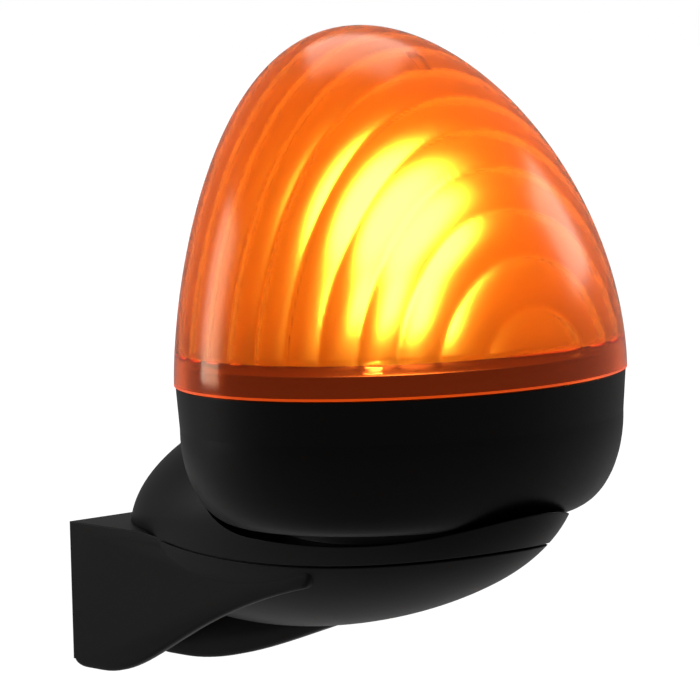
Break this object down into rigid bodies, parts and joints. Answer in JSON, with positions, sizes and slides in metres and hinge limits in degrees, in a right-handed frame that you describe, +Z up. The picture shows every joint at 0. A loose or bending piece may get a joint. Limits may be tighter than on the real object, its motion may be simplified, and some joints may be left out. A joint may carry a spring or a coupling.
{
  "type": "flashing warning light",
  "caption": "Wall-arm flashing warning light: orange oval dome lens with inner hoop flutes over a screw-in bulb, on a black cup, round pod and finned arm.",
  "frame": {"origin": "middle of the wall plate's back face, which lies on the wall", "axes": "+X out of the wall along the arm, +Y along the wall, +Z up along the lamp's axis"},
  "size_m": [0.1741, 0.146, 0.199],
  "materials": {
    "black_plastic": "fine moulded matt",
    "orange_lens": "clear, glossy",
    "black_rubber": "matt",
    "zinc_steel": "zinc plated",
    "white_moulding": "satin",
    "brass": "plain",
    "clear_glass": "clear",
    "nickel_cap": "satin",
    "dark_glass": "glossy",
    "solder": "dull",
    "tungsten": "dull",
    "board_laminate": "satin",
    "green_plastic": "satin",
    "blue_sleeve": "glossy",
    "black_epoxy": "matt",
    "plain_aluminium": "satin",
    "resistor_coat": "satin",
    "lead_sleeve": "satin"
  },
  "bodies": {
    "bracket": {"wall_arm": "black_plastic", "saddle": "black_plastic", "lamp_base": "black_plastic", "deck_plate": "black_plastic", "lens_seal": "black_rubber", "cable_grommet": "black_rubber", "base_screws": "zinc_steel", "deck_screws": "zinc_steel", "holder_screws": "zinc_steel", "board_screws": "zinc_steel", "terminal_screws": "zinc_steel", "lamp_holder": "white_moulding", "socket_shell": "brass", "socket_contact": "brass", "fuse_clips": "brass", "fuse": "clear_glass", "flasher_board": "board_laminate", "terminal_block": "green_plastic", "capacitor": "blue_sleeve", "triac": "black_epoxy", "heat_sink": "plain_aluminium", "resistor": "resistor_coat", "holder_leads": "lead_sleeve"},
    "lens": {"lens_dome": "orange_lens"},
    "bulb_tip": {"bulb_contact": "solder"},
    "bulb": {"bulb_glass": "clear_glass", "bulb_cap": "nickel_cap", "bulb_insulator": "dark_glass", "bulb_stem": "clear_glass", "bulb_filament": "tungsten"}
  },
  "joints": [
    {"name": "lens_lift", "type": "slide", "parent": "bracket", "child": "lens", "axis": [0, 0, 1], "range_m": [0, 0.12]},
    {"name": "bulb_rise", "type": "slide", "parent": "bracket", "child": "bulb_tip", "axis": [0, 0, 1], "range_m": [0, 0.0128]},
    {"name": "bulb_turn", "type": "hinge", "parent": "bulb_tip", "child": "bulb", "pos_m": [0.1145, 0, 0.073], "axis": [0, 0, 1], "range_deg": [0, 1260]}
  ],
  "couplings": [
    {"joint": "bulb_rise", "follows": "bulb_turn", "m_per_rad": 0.00057773}
  ]
}
